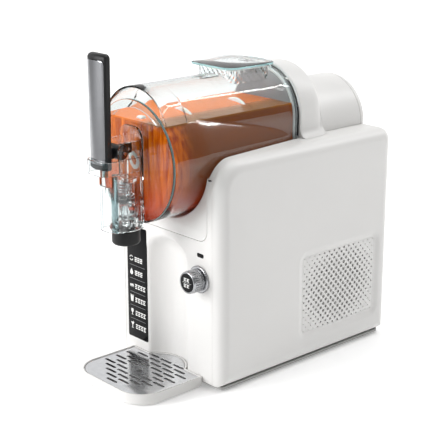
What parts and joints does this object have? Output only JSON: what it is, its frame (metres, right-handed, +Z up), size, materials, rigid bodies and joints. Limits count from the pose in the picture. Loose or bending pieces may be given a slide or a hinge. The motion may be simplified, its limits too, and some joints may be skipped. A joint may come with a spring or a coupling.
{
  "type": "slushie machine",
  "caption": "Counter-top slushie machine: a clear cooled drum with an auger over a white cabinet, with a lever tap, lift-up filler lid and drip tray.",
  "frame": {"origin": "middle of the footprint on the table, at the height of the feet", "axes": "+Z up, the tap and drip tray face -Y, the knob side is +X"},
  "size_m": [0.2, 0.412, 0.416],
  "materials": {
    "white_abs": "satin moulded white ABS",
    "dark_plastic": "fine-grained black ABS",
    "black_panel": "glossy black acrylic",
    "clear_plastic": "clear copolyester, polished",
    "brushed_steel": "brushed stainless",
    "bright_steel": "bright plated steel",
    "black_rubber": "matt black rubber",
    "pale_plastic": "natural acetal",
    "black_enamel": "semi-gloss black enamel",
    "bare_aluminium": "mill finish aluminium",
    "copper_pipe": "drawn copper",
    "circuit_board": "green solder mask"
  },
  "bodies": {
    "base": {"base_pan": "dark_plastic", "foot_front_left": "black_rubber", "foot_front_right": "black_rubber", "foot_rear_left": "black_rubber", "foot_rear_right": "black_rubber", "main_housing": "white_abs", "side_shell_right": "white_abs", "side_shell_left": "white_abs", "side_grille_right": "white_abs", "side_grille_left": "white_abs", "rear_panel": "white_abs", "drum_collar": "white_abs", "collar_latch": "dark_plastic", "touch_panel": "black_panel", "remote_window": "black_panel", "ring_hood": "white_abs", "motor_dome": "white_abs", "knob_bezel": "bright_steel", "encoder_body": "dark_plastic", "motor_bracket": "bare_aluminium", "drive_motor": "bare_aluminium", "shaft_seal": "black_rubber", "evaporator": "brushed_steel", "rear_bulkhead": "black_enamel", "drum_gasket": "black_rubber", "compressor": "black_enamel", "condenser": "bare_aluminium", "fan_shroud": "dark_plastic", "fan_motor": "black_enamel", "control_board": "circuit_board", "discharge_line": "copper_pipe", "suction_line": "copper_pipe", "power_inlet": "dark_plastic", "switch_frame": "dark_plastic"},
    "knob": {"knob": "bright_steel", "knob_cap": "black_panel", "encoder_shaft": "bright_steel"},
    "auger": {"auger": "pale_plastic", "drive_shaft": "bright_steel", "drive_gear": "pale_plastic"},
    "motor_rotor": {"motor_pinion": "bright_steel"},
    "fan": {"fan_rotor": "dark_plastic"},
    "drum": {"drum_vessel": "clear_plastic", "front_cover": "clear_plastic", "front_bush": "pale_plastic", "tap_housing": "clear_plastic", "nozzle": "dark_plastic", "lid_pin": "bright_steel", "lever_pin": "bright_steel", "tap_spring": "bright_steel"},
    "lid": {"lid": "clear_plastic", "lid_seal": "pale_plastic"},
    "lever": {"lever_frame": "dark_plastic", "lever_face": "brushed_steel", "link_pin": "bright_steel"},
    "piston": {"tap_piston": "clear_plastic", "piston_seal": "black_rubber"},
    "tray": {"drip_tray": "white_abs"},
    "grid": {"drip_grid": "brushed_steel"},
    "switch": {"rocker_switch": "dark_plastic"}
  },
  "joints": [
    {"name": "auger_spin", "type": "hinge", "parent": "base", "child": "auger", "pos_m": [0, 0.001, 0.283], "axis": [0, 1, 0], "continuous": true},
    {"name": "rotor_spin", "type": "hinge", "parent": "base", "child": "motor_rotor", "pos_m": [0, 0.131, 0.238], "axis": [0, 1, 0], "continuous": true},
    {"name": "fan_spin", "type": "hinge", "parent": "base", "child": "fan", "pos_m": [0.0525, 0.111, 0.092], "axis": [1, 0, 0], "continuous": true},
    {"name": "knob_turn", "type": "hinge", "parent": "base", "child": "knob", "pos_m": [0.062, -0.109, 0.1405], "axis": [0, -1, 0], "continuous": true},
    {"name": "switch_rock", "type": "hinge", "parent": "base", "child": "switch", "pos_m": [0.02, 0.2, 0.0465], "axis": [0, 0, 1], "range_deg": [0, 10]},
    {"name": "drum_slide", "type": "slide", "parent": "base", "child": "drum", "axis": [0, -1, 0], "range_m": [0, 0.21]},
    {"name": "lid_hinge", "type": "hinge", "parent": "drum", "child": "lid", "pos_m": [0, 0.0545, 0.38], "axis": [-1, 0, 0], "range_deg": [0, 100]},
    {"name": "lever_pull", "type": "hinge", "parent": "drum", "child": "lever", "pos_m": [0, -0.175, 0.3], "axis": [1, 0, 0], "range_deg": [0, 15], "stiffness_Nm_per_rad": 0.4, "springref_deg": -22.92},
    {"name": "piston_lift", "type": "slide", "parent": "drum", "child": "piston", "axis": [0, 0, 1], "range_m": [0, 0.0037], "deforming": ["tap_spring"]},
    {"name": "tray_slide", "type": "slide", "parent": "base", "child": "tray", "axis": [0, -1, 0], "range_m": [0, 0.12]},
    {"name": "grid_lift", "type": "slide", "parent": "tray", "child": "grid", "axis": [0, 0, 1], "range_m": [0, 0.03]}
  ],
  "couplings": [
    {"joint": "rotor_spin", "follows": "auger_spin", "ratio": -4},
    {"joint": "piston_lift", "follows": "lever_pull", "m_per_rad": 0.0138}
  ]
}
